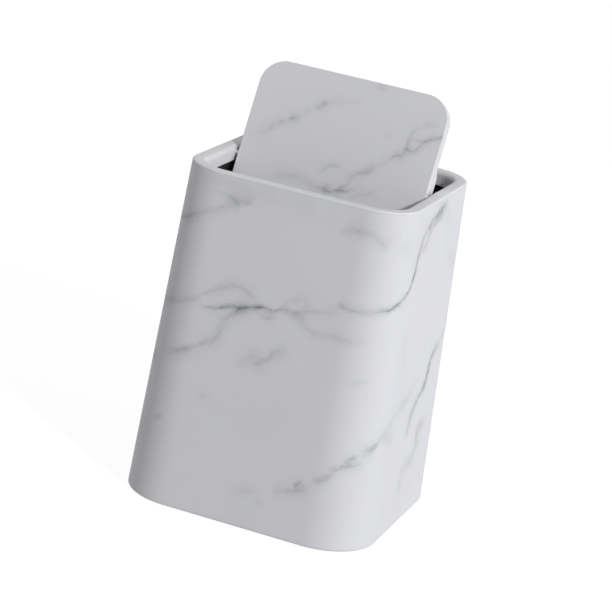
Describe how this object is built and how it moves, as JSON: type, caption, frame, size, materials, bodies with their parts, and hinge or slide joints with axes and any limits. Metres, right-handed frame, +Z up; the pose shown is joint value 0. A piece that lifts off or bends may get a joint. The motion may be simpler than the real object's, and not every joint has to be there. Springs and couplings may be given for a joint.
{
  "type": "bathroom trash can",
  "caption": "Square tapered bathroom bin with a marble-patterned shell, a white top frame, a lift-out bucket and a flat lid that swings on side pins.",
  "frame": {"origin": "on the floor under the middle of the bin", "axes": "+Z up, front towards -Y, +X to the right seen from the front"},
  "size_m": [0.2148, 0.2148, 0.3531],
  "materials": {
    "marble_plastic": "satin, white with grey marble veins",
    "white_plastic": "satin",
    "grey_plastic": "fine moulded texture",
    "black_plastic": "matte",
    "steel": "zinc-plated flat bar",
    "foot_rubber": "matte"
  },
  "bodies": {
    "bin_body": {"outer_shell": "marble_plastic", "base_plate": "grey_plastic", "foot_front_left": "foot_rubber", "foot_front_right": "foot_rubber", "foot_rear_left": "foot_rubber", "foot_rear_right": "foot_rubber"},
    "bucket": {"inner_bucket": "black_plastic"},
    "frame": {"top_frame": "white_plastic"},
    "lid": {"lid_face": "marble_plastic", "lid_tray": "white_plastic", "pivot_pin_left": "white_plastic", "pivot_pin_right": "white_plastic", "counterweight_bar": "steel"}
  },
  "joints": [
    {"name": "bucket_lift", "type": "slide", "parent": "bin_body", "child": "bucket", "axis": [0, 0, 1], "range_m": [0, 0.275]},
    {"name": "frame_lift", "type": "slide", "parent": "bucket", "child": "frame", "axis": [0, 0, 1], "range_m": [0, 0.1]},
    {"name": "lid_swing", "type": "hinge", "parent": "frame", "child": "lid", "pos_m": [0, 0, 0.2756], "axis": [1, 0, 0], "range_deg": [-157.2, 22.8]}
  ]
}
